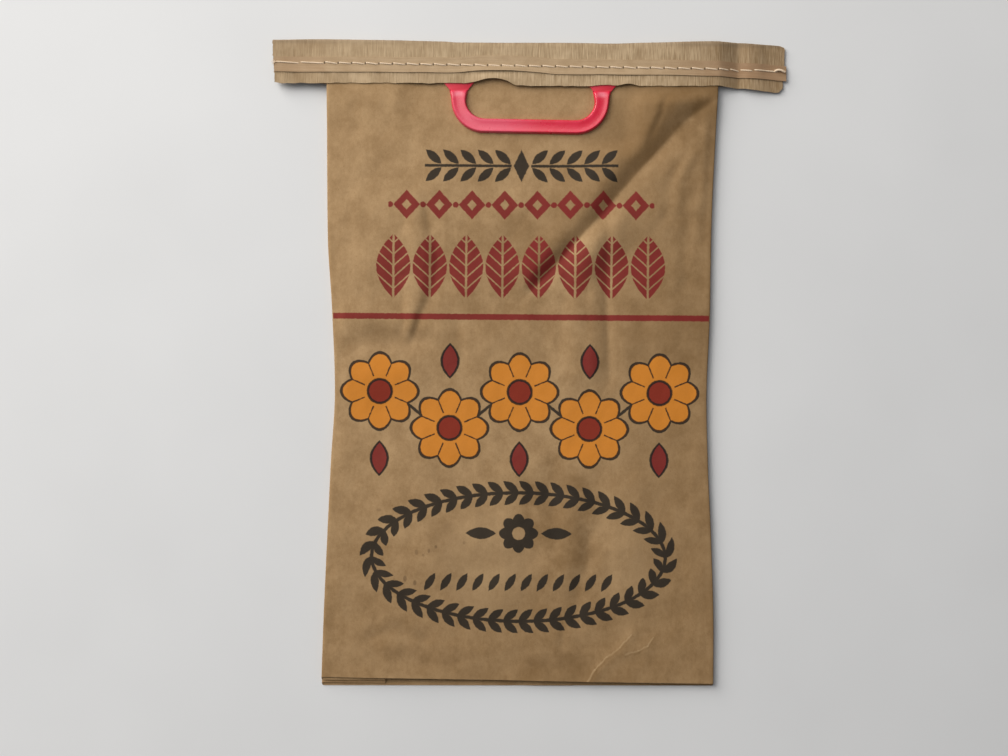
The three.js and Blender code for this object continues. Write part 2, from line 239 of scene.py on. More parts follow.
# Where the front lies flat: beside and below the handle, and for ridges and for troughs under the tape
FLAT_HALF_WIDTH = 64
FLAT_MARGIN = (2, 20)
RIDGES_END = (SACK_TOP - 46, SACK_TOP - 34)
TROUGHS_END = (SACK_TOP - 32, SACK_TOP - 26)

# Uneven waves all over the front: height, longest wave, number, how they are drawn out, and seed
WAVES = ((0.26, 90, 7, 1, 4), (0.07, 26, 9, 1, 9), (0.06, 20, 8, 0.22, 12))

# Folds of the front panel: points along each, the offsets and heights of its left and right slopes, which
# meet in a sharp line, and how much both are widened and raised from its start to its end
FOLD_RUN_OUT = 12
FOLDS = (
    {
        "along": (
            (10, 61), (20, 72), (32, 85), (39, 93), (46, 100), (55, 109), (66, 124),
            (78, 138), (96, 156), (106, 168), (117, 179), (125, 185), (135, 191),
        ),
        "left": ((0, -1.3), (4, 0.4), (8, 2.1), (12, 3.3), (16, 3.7), (22, 3.4), (34, 1.9), (56, 0)),
        "right": ((-40, 0), (-24, 0.8), (-14, 0.8), (-7, 0.1), (0, -1.3)),
        "spread": (0.6, 1.3),
        "strength": (0.85, 1.15),
    },
    {
        "along": ((91, 172), (94, 179), (95, 185), (99, 192), (106, 201)),
        "left": ((0, -0.6), (2, 0.2), (4, 0.5), (9, 0)),
        "right": ((-9, 0), (-3, 0), (0, -0.6)),
        "spread": (1, 1),
        "strength": (1, 1.4),
    },
    {
        "along": ((59, -2), (57, 40), (57, 92)),
        "left": ((0, -0.9), (6, 0.2), (12, 1), (18, 1.1), (34, 0)),
        "right": ((-26, 0), (-12, 0), (-5, -0.3), (0, -0.9)),
        "spread": (1.1, 0.8),
        "strength": (2, 1.2),
    },
    {
        "along": ((-79, 27), (-76, 36), (-71, 46), (-66, 60), (-65, 78), (-70, 94), (-72, 106)),
        "left": ((0, -1), (4, 0.4), (8, 1.3), (12, 1.4), (24, 0)),
        "right": ((-22, 0), (-10, -0.3), (0, -1)),
        "spread": (0.4, 0.9, 1.3, 1, 0.7),
        "strength": (0.8, 1.1, 1.1, 0.9, 0.8),
    },
)

# Soft troughs and ridges of the front panel: points along each, half its width, its height and its bluntness
CREASES = (
    (((112, 176), (80, 130)), 42, 1.3, 2),
    (((40, 73), (66, 104)), 10, 1.6, 2),
    (((-112, 92), (-116, 45)), 22, 1.2, 2),
    (((-128, 34), (-88, 30), (-66, 22)), 8, 1.2, 2),
    (((-126, 14), (-92, 14), (-70, 18)), 7, -0.9, 1.6),
    (((-125, -8), (-80, -12)), 14, 1, 2),
    (((42, 50), (43, 28), (40, 2)), 7, -0.9, 1.8),
    (((86, 50), (84, 4)), 9, -0.6, 2),
    (((-50, 28), (-46, 2)), 5, -0.9, 1.6),
    (((12, 40), (14, 4)), 8, -0.7, 2),
    (((16, -78), (20, -108)), 6, -0.8, 1.7),
    (((54, -84), (50, -136)), 8, -0.7, 2),
    (((96, 110), (106, 20)), 22, 0.9, 2),
    (((117, 150), (108, 132), (107, 112)), 4, 0.7, 2),
    (((108, 146), (100, 128), (98, 106)), 4.5, -0.6, 2),
    (((126, 132), (121, 108), (122, 92)), 4, 0.5, 2),
    (((116, 104), (112, 82), (114, 60)), 5, -0.5, 2),
    (((44, -230), (59, -212), (69, -203), (78, -192)), 4.5, 1.1, 1.2),
    (((70, -206), (86, -203), (92, -196)), 3.5, 0.8, 1.2),
    (((-110, -197), (-92, -190), (-72, -199)), 5, -1.2, 1.4),
    (((46, -122), (44, -148)), 5, -0.9, 1.8),
    (((38, -154), (36, -184)), 5, -0.8, 1.8),
    (((28, -183), (27, -202)), 3, -0.6, 1.5),
    (((36, -72), (28, -156)), 9, 0.9, 2),
    (((-9, -82), (-14, -165)), 12, 0.7, 2),
    (((78, -88), (70, -160)), 10, 0.7, 2),
    (((-70, -95), (-66, -150)), 11, 0.6, 2),
    (((-60, -120), (40, -130)), 42, 0.9, 2),
    (((-100, -70), (-40, -60)), 24, 0.6, 2),
)


def ease(value, start, end):
    """The share of the way from start to end, levelling off at both."""
    share = np.clip((value - start) / (end - start), 0, 1)
    return share * share * (3 - 2 * share)


def through(at, places, values):
    """A smooth curve through values at places that never swings past them."""
    places, values = np.asarray(places, float), np.asarray(values, float)
    rates = np.diff(values) / np.diff(places)
    before, after = rates[:-1], rates[1:]
    mild = 2 * before * after / np.where(before + after == 0, 1, before + after)
    slopes = np.concatenate([rates[:1], np.where(before * after > 0, mild, 0), rates[-1:]])
    index = np.clip(np.searchsorted(places, at) - 1, 0, len(places) - 2)
    span = places[index + 1] - places[index]
    s = np.clip((at - places[index]) / span, 0, 1)
    rise = values[index] * (1 + 2 * s) * (1 - s) ** 2 + values[index + 1] * s * s * (3 - 2 * s)
    return rise + span * (slopes[index] * s * (1 - s) ** 2 + slopes[index + 1] * s * s * (s - 1))


def line_places(x, y, points):
    """Each place's distance from a line through points, its offset to the left, its share of the way along
    and how far it is past the ends."""
    total = sum(math.dist(a, b) for a, b in zip(points, points[1:]))
    distance = np.full(np.shape(x), np.inf)
    offset, along, past = (np.zeros(np.shape(x)) for _ in range(3))
    before = 0
    for start, end in zip(points, points[1:]):
        length = math.dist(start, end)
        ux, uy = (end[0] - start[0]) / length, (end[1] - start[1]) / length
        forward = (x - start[0]) * ux + (y - start[1]) * uy
        aside = (y - start[1]) * ux - (x - start[0]) * uy
        here = np.clip(forward, 0, length)
        away = np.hypot(forward - here, aside)
        outside = (forward < 0) & (start == points[0]) | (forward > length) & (end == points[-1])
        nearer = away < distance
        distance = np.where(nearer, away, distance)
        offset = np.where(nearer, np.where(outside, aside, np.copysign(away, aside)), offset)
        along = np.where(nearer, (before + here) / total, along)
        past = np.where(nearer, np.where(outside, np.abs(forward - here), 0), past)
        before += length
    return distance, offset, along, past


def ripples(x, y, height, longest, count, seed):
    """Slow uneven waves, about as high as given, made of a few crossing sines."""
    draw = np.random.default_rng(seed)
    total = 0
    for _ in range(count):
        length = longest * draw.uniform(0.35, 1)
        heading = draw.uniform(0, math.pi)
        phase = draw.uniform(0, 2 * math.pi)
        along = x * math.cos(heading) + y * math.sin(heading)
        total = total + np.sin(2 * math.pi * along / length + phase)
    return height * (total / math.sqrt(count))


def front_relief(x, y):
    """Height of the creases of the front panel, which lies flat under the handle and the tape."""
    height = 0
    for wave_height, longest, count, drawn_out, seed in WAVES:
        height = height + ripples(x, drawn_out * y, wave_height, longest, count, seed)
    for fold in FOLDS:
        _, offset, along, past = line_places(x, y, fold["along"])
        spread, strength = (
            np.interp(along, np.linspace(0, 1, len(fold[key])), fold[key])
            for key in ("spread", "strength")
        )
        slopes = [through(offset / spread, *zip(*fold[side])) for side in ("left", "right")]
        rise = strength * np.where(offset > 0, *slopes)
        height = height + rise * np.exp(-((past / FOLD_RUN_OUT) ** 2))
    for points, half_width, crease_height, blunt in CREASES:
        distance = line_places(x, y, points)[0] / half_width
        height = height + crease_height * np.exp(-(distance ** blunt))
    beside = np.maximum(np.abs(x - HANDLE_MIDDLE) - FLAT_HALF_WIDTH, 0)
    below = np.maximum(handle_low.y - y, 0)
    away_from_handle = ease(np.hypot(beside, below), *FLAT_MARGIN)
    ridges = np.maximum(height, 0) * (1 - ease(y, *RIDGES_END))
    troughs = np.minimum(height, 0) * (1 - ease(y, *TROUGHS_END))
    return (ridges + troughs) * away_from_handle


def take_up(piece):
    """Makes a piece the only one that the next steps work on."""
    bpy.ops.object.select_all(action="DESELECT")
    piece.select_set(True)
    bpy.context.view_layer.objects.active = piece


def sheet_piece(name, grid, web, thickness, materials):
    """A thin solid sheet through a grid of points, with its web map; its back takes the last material."""
    rows, columns = grid.shape[:2]
    mesh = bpy.data.meshes.new(name)
    index = np.arange(rows * columns).reshape(rows, columns)
    corners = [index[:-1, :-1], index[:-1, 1:], index[1:, 1:], index[1:, :-1]]
    faces = np.stack(corners, axis=-1).reshape(-1, 4)
    mesh.from_pydata(grid.reshape(-1, 3) * MM, [], faces.tolist())
    uv_map = mesh.uv_layers.new(name="web")
    uv_map.data.foreach_set("uv", web.reshape(-1, 2)[faces.ravel()].ravel() * MM)
    for material in materials:
        mesh.materials.append(material)
    piece = bpy.data.objects.new(name, mesh)
    bpy.context.collection.objects.link(piece)
    take_up(piece)
    solid = piece.modifiers.new("thickness", "SOLIDIFY")
    solid.thickness = thickness * MM
    solid.offset = 0
    solid.material_offset = len(materials) - 1
    solid.material_offset_rim = len(materials) - 1
    bpy.ops.object.modifier_apply(modifier=solid.name)
    bpy.ops.object.shade_smooth_by_angle(angle=math.radians(50))
    return piece


# Each column of the web: where it stands between the left side, 0, and the right, 1, its shift from there
# and its layer
web_columns = []


def web_run(from_share, from_shift, to_share, to_shift, layer, steps):
    """Runs the web flat from one place to another in one layer."""
    for step in range(steps + 1):
        s = step / steps
        place = (from_share + (to_share - from_share) * s, from_shift + (to_shift - from_shift) * s)
        web_columns.append((*place, layer))


def web_turn(share, shift, from_layer, to_layer, outward, steps=5):
    """Turns the web round a fold from one layer into the next."""
    for step in range(1, steps):
        angle = math.pi * step / steps
        layer = from_layer + (to_layer - from_layer) * (1 - math.cos(angle)) / 2
        web_columns.append((share, shift + outward * LAYER_PITCH / 2 * math.sin(angle), layer))


def web_gusset(side, inward, layers):
    """Folds the web round a side of the sack, in to the gusset's depth and out again."""
    edge, depth = inward * SIDE_FOLD, inward * GUSSET_DEPTH
    web_turn(side, edge, layers[0], layers[1], -inward)
    web_run(side, edge, side, depth, layers[1], steps=6)
    web_turn(side, depth, layers[1], layers[2], inward)
    web_run(side, depth, side, edge, layers[2], steps=6)
    web_turn(side, edge, layers[2], layers[3], -inward)


lap_share = (LAP_X - tube_low.x) / (tube_high.x - tube_low.x)
web_run(lap_share, 0, 1, -SIDE_FOLD, layer=0, steps=10)
web_gusset(1, -1, layers=(0, 1, 2, FRONT_LAYER))
front_start = len(web_columns)
web_run(1, -SIDE_FOLD, 0, SIDE_FOLD, FRONT_LAYER, FRONT_STEPS)
front_end = len(web_columns)
web_gusset(0, 1, layers=(FRONT_LAYER, 2, 1, 0))
web_run(0, SIDE_FOLD, lap_share, LAP_WIDTH, layer=0, steps=26)

share, shift, layer = np.array(web_columns).T
column_numbers = np.arange(len(web_columns))
upper = np.linspace(0, UPPER_SHARE, UPPER_STATIONS, endpoint=False)
down = np.concatenate([upper, np.linspace(UPPER_SHARE, 1, LOWER_STATIONS)])[:, None]
level = TUBE_TOP + (MOUTH_Y - TUBE_TOP) * down
left = tube_low.x + through(level, SIDE_PLACES, LEFT_INSETS)
right = tube_high.x - through(level, SIDE_PLACES, RIGHT_INSETS)
paper_x = left * (1 - share) + right * share + shift
across = (paper_x - left) / (right - left)
back_step = BACK_STEP[0] + (BACK_STEP[1] - BACK_STEP[0]) * across
front_step = FRONT_STEP[0] + (FRONT_STEP[1] - FRONT_STEP[0]) * across
mouth = MOUTH_Y + back_step + (front_step - back_step) * layer / FRONT_LAYER
paper_y = TUBE_TOP + (mouth - TUBE_TOP) * down
closure_y = SACK_TOP - CLOSURE_DROP
lift = CLOSURE_LIFT * ease(level, closure_y - CLOSURE_RAMP, closure_y)
paper_z = BACK_LEVEL + lift + layer * LAYER_PITCH
lapping = column_numbers >= len(web_columns) - LAP_STEPS
paper_z = paper_z + LAP_RISE * lapping * ease(paper_x, LAP_X - 14, LAP_X - 2)

from_fold = np.minimum(paper_x - left, right - paper_x)
gusset_end = GUSSET_DEPTH + GUSSET_ROOM
middle = ease(from_fold, gusset_end, gusset_end + PANEL_SLOPE)
deepest = -SINK_OVER_GUSSETS - (SINK_BETWEEN - SINK_LOST * lift) * middle
relief = np.maximum(front_relief(paper_x, paper_y), deepest) * ease(from_fold, SIDE_FOLD, SIDE_STIFFNESS)
paper_z = paper_z + np.minimum(relief, 0) * np.interp(layer, range(FRONT_LAYER + 1), LAYER_SINK)

front = slice(front_start, front_end)
front_x, front_y = paper_x[:, front], paper_y[:, front]
sink = BACK_LEVEL + lift + FRONT_LAYER * LAYER_PITCH - FRONT_MIDDLE_LEVEL
lip = LIP_RISE * np.exp(-((front_y - MOUTH_Y) / LIP_REACH) ** 2) * (0.6 + 0.4 * np.sin(front_x / 31))
paper_z[:, front] += np.maximum(relief[:, front], 0) - sink * middle[:, front]
paper_z[:, front] += lip * ease(from_fold[:, front], 2, 40)

steps = np.hypot(np.diff(paper_x[0]), np.diff(paper_z[0]))
web_u = np.concatenate([[0], np.cumsum(steps)])
web_u = web_u - np.interp(front_start + FRONT_STEPS / 2, column_numbers, web_u)
web_u = np.broadcast_to(web_u, paper_x.shape).copy()
web_u[:, front] = TUBE_MIDDLE - front_x
paper_grid = np.stack([paper_x, paper_y, paper_z], axis=-1)
paper_web = np.stack([-web_u, paper_y], axis=-1)

# Darker brown for tones and painted shade, pale brown for painted light and worn lines, soil for stains
DARK_TONE_AND_SHADE = colour(95, 67, 30)
PALE_WEAR_AND_LIGHT = colour(205, 176, 136)
SOIL = colour(74, 54, 36)

# Spots and broad tones on the front: place, half width, half height, tint and strength
# The soil spots are stains; the broad dark tones are painted shade and the pale ones painted light
SPOTS = (
    (-22, -144, 36, 44, PALE_WEAR_AND_LIGHT, 0.13),
    (78, -148, 18, 38, PALE_WEAR_AND_LIGHT, 0.1),
    (29, -108, 26, 42, DARK_TONE_AND_SHADE, 0.28),
    (112, 28, 46, 36, DARK_TONE_AND_SHADE, 0.12),
    (131, 180, 14, 12, DARK_TONE_AND_SHADE, 0.42),
    (118, 168, 10, 9, DARK_TONE_AND_SHADE, 0.36),
    (0, 18, 160, 36, DARK_TONE_AND_SHADE, 0.12),
    (-22, 72, 52, 48, DARK_TONE_AND_SHADE, 0.15),
    (33, -220, 32, 16, DARK_TONE_AND_SHADE, 0.25),
    (-54, -127, 16, 14, SOIL, 0.07),
    (-46, -168, 14, 12, SOIL, 0.06),
    (-65, -208, 34, 8, SOIL, 0.1),
    (31, -212, 30, 7, SOIL, 0.08),
    (-74, -157, 1.5, 2.2, SOIL, 0.5),
    (-81, -154, 1.6, 2.5, SOIL, 0.45),
    (-59, -131, 1.2, 1.4, SOIL, 0.4),
    (-64, -134, 1.1, 1.9, SOIL, 0.42),
    (-68, -137, 1.2, 1.2, SOIL, 0.3),
    (-73, -135, 1.3, 2.2, SOIL, 0.25),
    (-39, -128, 1.1, 1.3, SOIL, 0.22),
    (-100, -105, 2, 1.2, SOIL, 0.25),
    (83, 78, 3, 2, SOIL, 0.12),
)

# Fine pale lines along sharp creases, worn paper with a painted highlight: start, end, half width and
# strength
CREASE_LINES = (
    ((49, -228), (55, -218), 0.6, 0.26),
    ((55, -218), (64, -209), 0.5, 0.24),
    ((64, -209), (73, -202), 0.6, 0.16),
    ((73, -202), (81, -193), 0.5, 0.22),
    ((77, -207), (86, -204), 0.6, 0.2),
    ((86, -204), (93, -201), 0.5, 0.2),
    ((93, -201), (97, -195), 0.5, 0.24),
)

# The long fold's shade: where the fold starts and its heading, and the same where it turns flatter
FOLD_U, FOLD_V, FOLD_HEADING = 15, 60, 48.7
TURN_U, TURN_V, TURN_HEADING = 122, 179, 33

# The print: the inks and how well they cover, then each row's height on the web, its pitch and its reach
# from the middle
BLACK_INK, BLACK_COVER = colour(26, 26, 25), 0.92
RED_INK, RED_COVER = colour(118, 17, 27), 0.9
ORANGE_INK, ORANGE_COVER = colour(204, 126, 34), 0.88
INK_EDGE = 0.35
GARLAND_V, GARLAND_PITCH, GARLAND_START, GARLAND_REACH = 141.7, 12.4, 7, 69
LOZENGE_V, LOZENGE_PITCH, LOZENGE_REACH = 113.7, 23.4, 95
TALL_V, TALL_PITCH, TALL_REACH = 69.5, 26, 104
RULE_V, RULE_HALF, RULE_REACH = 33.6, 2.1, 136
HIGH_V, LOW_V, LOW_REACH = -20, -46, 80
FLOWER_PITCH, FLOWER_RADIUS, FLOWER_HEART = 100, 27.5, 8.5
STEM_V, STEM_WAVE, STEM_REACH = -33, 13, 100
UPPER_BUD_V, LOWER_BUD_V, BUD_REACH = 2, -68, 108
BUD_HALF_SIZES = (12, 6)
LOWEST_FLOWER_V = -104
WREATH_V, WREATH_LONG, WREATH_SHORT = -138, 105, 46
WREATH_MEAN, WREATH_EVENNESS, WREATH_PAIRS = 78.4, 0.376, 44
STAR_V, SPRIG_U = -121, 27
SMALL_V, SMALL_PITCH, SMALL_REACH = -156, 11.5, 69


def leaf(along, across, half_length, half_width):
    """How far a place is outside a pointed leaf."""
    return abs(across) - (1 - along * along / half_length ** 2) * half_width


def lozenge(x, y, half_width, half_height):
    """How far a place is outside a lozenge."""
    return (abs(x) / half_width + abs(y) / half_height - 1) * (min(half_width, half_height) * 0.7)


def turned(x, y, degrees):
    """A place seen along axes turned by some degrees."""
    cosine, sine = math.cos(math.radians(degrees)), math.sin(math.radians(degrees))
    return x * cosine + y * sine, y * cosine - x * sine


def repeated(along, pitch):
    """A place along a row, from the middle of its own step."""
    return along % pitch - pitch / 2


def length(x, y):
    """How far a place is from its start."""
    return (x * x + y * y).root()


def flower(x, y, radius, heart):
    """How far a place is outside a flower's petals, its drawn lines and its heart."""
    out = length(x, y)
    lobes = abs((y.angle_to(x) * 4).cosine())
    petals = out - (lobes * 0.22 + 0.78) * radius
    creases = (out * lobes / 4 - 0.5).most(heart + 3 - out).most(petals)
    lines = (abs(petals) - 1.1).least(abs(out - heart) - 0.9).least(creases)
    return petals, lines, out - heart


def sack_marks(u, v, cloud, mottle, paper):
    """The front's painted shade to its right, mouth and long fold, its spots, and lines along sharp creases.
    """
    # Painted shade: darker toward the right side and the mouth, where the light from the upper left falls off
    drift = (cloud - 0.5) * 60
    low = (v + drift).ramp(-30, -215)
    right_side = (u + drift).ramp(35, 110)
    painted_falloff = right_side.most(low * ((u + drift).ramp(-80, 0) * 0.3 + 0.7))
    paint = (painted_falloff * 0.3).mix(paper, DARK_TONE_AND_SHADE)
    paint = (mottle.ramp(0.48, 0.72) * (low * 0.12 + 0.05)).mix(paint, DARK_TONE_AND_SHADE)
    # Painted shade in the hollow above the long fold, ending at the fold's sharp line
    along, across = turned(u - FOLD_U, v - FOLD_V, FOLD_HEADING)
    across = across.most(turned(u - TURN_U, v - TURN_V, TURN_HEADING)[1])
    painted_fold_shade = across.ramp(-1.2, 1.2) * along.ramp(-12, 12) * along.ramp(206, 190)
    broad = across.ramp(62, 14) * (along.ramp(90, 125) * 0.12 + 0.36)
    paler = across.ramp(18, 6) * along.ramp(122, 152) * along.ramp(188, 172) * 0.3
    paint = (painted_fold_shade * (broad - paler)).mix(paint, DARK_TONE_AND_SHADE)
    for spot_u, spot_v, half_width, half_height, tint, strength in SPOTS:
        across, up = (u - spot_u) / half_width, (v - spot_v) / half_height
        spot = (across * across + up * up + (cloud - 0.5) * 2).ramp(1.3, 0.2)
        paint = (spot * strength).mix(paint, tint)
    for start, end, half_width, strength in CREASE_LINES:
        heading = math.degrees(math.atan2(end[1] - start[1], end[0] - start[0]))
        along, across = turned(u - start[0], v - start[1], heading)
        past = (along * -1).most(along - math.dist(start, end)).most(0)
        wander = across + (mottle - 0.5) * 3
        pale = length(wander, past).ramp(half_width * 1.8, 0)
        # Painted shadow beside each pale line, on the crease's side away from the light
        ridge_shadow = length(wander + half_width * 2.4, past).ramp(half_width * 2.6, 0)
        paint = (ridge_shadow * strength * 0.8).mix(paint, DARK_TONE_AND_SHADE)
        paint = (pale * strength).mix(paint, PALE_WEAR_AND_LIGHT)
    return paint


def sack_print(u, v, web, paper):
    """The printed front: rows of leaves and lozenges, a rule, a row of flowers and an oval wreath."""
    aside = abs(u)
    wobble = (web.noise(420) - 0.5) * 0.9

    def inked(distance):
        return (distance + wobble).ramp(INK_EDGE, -INK_EDGE)

    # A black garland of leaves on a line, with a lozenge in its middle
    up = abs(v - GARLAND_V)
    along, across = turned(repeated(aside - GARLAND_START, GARLAND_PITCH), up - 6.3, degrees=42)
    garland = leaf(along, across, 7.6, 3).least(up - 1)
    garland = garland.most(aside - GARLAND_REACH).most(GARLAND_START - aside)
    garland = garland.least(lozenge(u, v - GARLAND_V, 5.6, 11.5))

    # A row of red lozenges, bare in their middles, with dots between them
    step, up = repeated(u, LOZENGE_PITCH), v - LOZENGE_V
    bare = lozenge(step, up, 3.4, 3.8)
    lozenges = lozenge(step, up, 9.6, 10.4).most(bare * -1)
    dots = length(repeated(u + LOZENGE_PITCH / 2, LOZENGE_PITCH), up) - 2.1
    lozenges = lozenges.least(dots).most(aside - LOZENGE_REACH)

    # A bold row of tall red leaves with their veins left bare
    step = repeated(u, TALL_PITCH)
    vein = repeated(v - abs(step) * 0.9, pitch=8.2)
    bare = (abs(step) - 0.8).least(abs(vein) - 0.65)
    tall = leaf(v - TALL_V, step, 23, 12.2)
    tall = tall.most(bare * -1).most(aside - TALL_REACH)

    # A red rule across the sack
    rule = (abs(v - RULE_V) - RULE_HALF).most(aside - RULE_REACH)

    # Orange flowers on a waving stem, with red buds
    high_u, low_u = repeated(u + FLOWER_PITCH / 2, FLOWER_PITCH), repeated(u, FLOWER_PITCH)
    beyond_low = aside - LOW_REACH
    high = flower(high_u, v - HIGH_V, FLOWER_RADIUS, FLOWER_HEART)
    low = [part.most(beyond_low) for part in flower(low_u, v - LOW_V, FLOWER_RADIUS, FLOWER_HEART)]
    petals, lines, hearts = (above.least(below) for above, below in zip(high, low))
    wave = (u * (2 * math.pi / FLOWER_PITCH)).cosine() * STEM_WAVE
    stem = (abs(v - STEM_V - wave) * 0.8 - 1.1).most(aside - STEM_REACH).most(petals * -1)
    upper_buds = leaf(v - UPPER_BUD_V, low_u, *BUD_HALF_SIZES)
    lower_buds = leaf(v - LOWER_BUD_V, high_u, *BUD_HALF_SIZES)
    buds = upper_buds.least(lower_buds).most(aside - BUD_REACH)
    lines = lines.least(abs(buds) - 0.9)

    # A black wreath, an oval of leaf pairs on a line, round a flower, two leaves and a row of small leaves
    x, y = u, v - WREATH_V
    out = length(x / WREATH_LONG, y / WREATH_SHORT)
    lean_x, lean_y = x / WREATH_LONG ** 2 / out, y / WREATH_SHORT ** 2 / out
    steep = length(lean_x, lean_y)
    off = (out - 1) / steep
    foot_x = (x - off * lean_x / steep) / WREATH_LONG
    foot_y = (y - off * lean_y / steep) / WREATH_SHORT
    round_oval = (foot_y.angle_to(foot_x) - foot_x * foot_y * WREATH_EVENNESS) * WREATH_MEAN
    step = repeated(round_oval, pitch=WREATH_MEAN * 2 * math.pi / WREATH_PAIRS)
    along, across = turned(step, abs(off) - 4.2, degrees=38)
    wreath = leaf(along, across, 7, 2.9).least(abs(off) - 1.3)
    star = flower(u, v - STAR_V, radius=14, heart=4.6)
    sprig = leaf(aside - SPRIG_U, v - STAR_V, 11, 4.2)
    along, across = turned(repeated(u, SMALL_PITCH), v - SMALL_V, degrees=58)
    small = leaf(along, across, 7.4, 2.7).most(aside - SMALL_REACH)
    wreath = wreath.least(star[0].most(star[2] * -1)).least(sprig).least(small)

    above_wreath = (v - LOWEST_FLOWER_V).ramp(-0.5, 0.5)
    orange = inked(petals) * above_wreath
    red = inked(lozenges.least(tall).least(rule).least(buds).least(hearts)) * above_wreath
    black = (inked(garland.least(lines).least(stem)) * above_wreath).most(inked(wreath))
    paint = (orange * ORANGE_COVER).mix(paper, ORANGE_INK)
    paint = (red * RED_COVER).mix(paint, RED_INK)
    return (black * BLACK_COVER).mix(paint, BLACK_INK)


def kraft_paper(name, printed):
    """Brown paper: cloudy, with fine fibres and flecks, and inked on its front."""
    material, shade, feed = new_material(name, Specular_IOR_Level=0.2)
    web = shade.web()
    cloud = web.noise(55, 4, 0.6)
    fibres = web.stretched(1, 0.3).noise(2600, 3, 0.65)
    cross_fibres = web.stretched(0.35, 1).noise(2100, 3, 0.65)
    formation = web.stretched(1, 0.6).noise(420, 2, 0.6)
    flecks = web.noise(900, 1).ramp(0.66, 0.74)
    tone = cloud * 0.6 + formation * 0.24 + fibres * 0.22 + cross_fibres * 0.18
    paint = tone.ramp(0.42, 0.82).mix(colour(149, 119, 82), colour(175, 144, 105))
    paint = (flecks * 0.35).mix(paint, colour(126, 96, 64))
    grain = fibres * 0.5 + cross_fibres * 0.5
    height = grain * 0.35 + web.noise(140, 3, 0.55) * 0.9
    if printed:
        u, v = (part / MM for part in web.parts()[:2])
        mottle = web.stretched(1, 0.6).noise(170, 3, 0.6)
        paint = sack_print(u, v, web, sack_marks(u, v, cloud, mottle, paint))
    feed("Base Color", paint)
    feed("Roughness", grain * 0.2 + 0.7)
    feed("Normal", height.bump(0.25, 0.8))
    return material


printed_kraft = kraft_paper("printed_kraft", True)
plain_kraft = kraft_paper("plain_kraft", False)
sack_paper = sheet_piece("sack_paper", paper_grid, paper_web, PAPER, [printed_kraft, plain_kraft])
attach(sack_paper, "root")
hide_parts("paper_tube")

# The closing tape
# A stiff tape of crepe paper, folded lengthwise over the sewn end so that one leaf lies on the front and one
# on the back, with a free tail past each side. Its fine ribs run across it.
TAPE = 0.35
TAPE_END = 184
TAPE_BACK_DEPTH = 31
TAPE_STEPS = 246
BACK_LEAF_STEPS = 8
BEND_STEPS = 10
FACE_STEPS = 24
TAIL_START = 168
JAGGED_START = 176

# How far each end is cut back: at the fold, and how much more at the lower edge
LEFT_TRIM = (0.6, 1.6)
RIGHT_TRIM = (0.9, 1.1)

# Along the tape: place, then distances below the sack's top of its fold, of the strip's lower edge and of its
# own lower edge, then the levels of its back leaf and front leaf, and how far its lower edge curls up
TAPE_MEASURES = ("fold", "strip", "edge", "back", "face", "curl")
TAPE_ROWS = np.array((
    (-184, 1.0, 24.1, 31.6, 3.90, 6.4, 0.2),
    (-178, 0.9, 24.1, 32.1, 3.80, 6.2, 0.1),
    (-166, 0.5, 24.1, 32.1, 3.20, 5.9, 0.1),
    (-156, 0.2, 24.0, 32.0, 2.00, 6.0, 0.1),
    (-147, 0.1, 24.0, 31.9, 1.05, 6.6, 0.1),
    (-98, 0.4, 23.9, 31.5, 1.05, 6.6, 0.1),
    (-75, 0.8, 23.9, 31.4, 1.05, 6.4, 0.1),
    (-61, 1.0, 23.8, 31.3, 1.05, 6.4, 0.2),
    (-52, 1.6, 23.7, 31.3, 1.05, 6.4, 0.3),
    (-40, 1.6, 22.8, 30.6, 1.05, 6.4, 0.8),
    (-34, 1.6, 22.4, 28.9, 1.05, 6.4, 1.4),
    (-25, 1.6, 22.1, 27.8, 1.05, 6.4, 1.8),
    (-20, 1.6, 22.0, 28.3, 1.05, 6.4, 1.7),
    (-15, 1.6, 22.0, 30.0, 1.05, 6.4, 1.4),
    (-9, 1.5, 22.2, 32.6, 1.05, 6.4, 0.9),
    (8, 1.4, 23.4, 32.9, 1.05, 6.4, 0.4),
    (20, 1.3, 24.6, 32.8, 1.05, 6.4, 0.2),
    (45, 1.4, 24.5, 32.6, 1.05, 6.4, 0.2),
    (52, 1.6, 24.4, 31.8, 1.05, 6.4, 0.3),
    (63, 1.5, 24.4, 32.0, 1.05, 6.4, 0.5),
    (71, 1.2, 24.4, 30.8, 1.05, 6.4, 0.8),
    (80, 0.8, 24.4, 32.2, 1.05, 6.5, 0.2),
    (92, 0.5, 24.4, 32.2, 1.05, 6.6, 0.1),
    (131, -0.7, 24.8, 31.8, 1.05, 6.6, 0.1),
    (135.5, -0.7, 24.8, 31.8, 1.05, 6.6, 0.1),
    (137.5, -0.6, 24.9, 31.9, 1.00, 6.1, 0.1),
    (148.5, -0.1, 25.2, 32.6, 0.70, 2.4, 0.3),
    (149.6, 0.0, 25.3, 32.7, 0.70, 2.1, 0.3),
    (151, 0.0, 25.3, 32.8, 0.70, 2.3, 0.3),
    (159, 0.5, 25.8, 33.8, 0.60, 3.8, 0.4),
    (163, 0.8, 26.0, 34.2, 0.60, 3.7, 0.4),
    (171, 1.2, 26.4, 34.9, 0.60, 2.4, 0.3),
    (180, 1.7, 27.0, 35.6, 0.60, 1.7, 0.2),
    (184, 3.0, 27.2, 32.2, 0.60, 1.5, 0.2),
))


def tape_at(x):
    """The measures of the tape at places along it, by their names."""
    places, *measures = TAPE_ROWS.T
    x = np.clip(x, -TAPE_END, TAPE_END)
    return {name: through(x, places, values) for name, values in zip(TAPE_MEASURES, measures)}


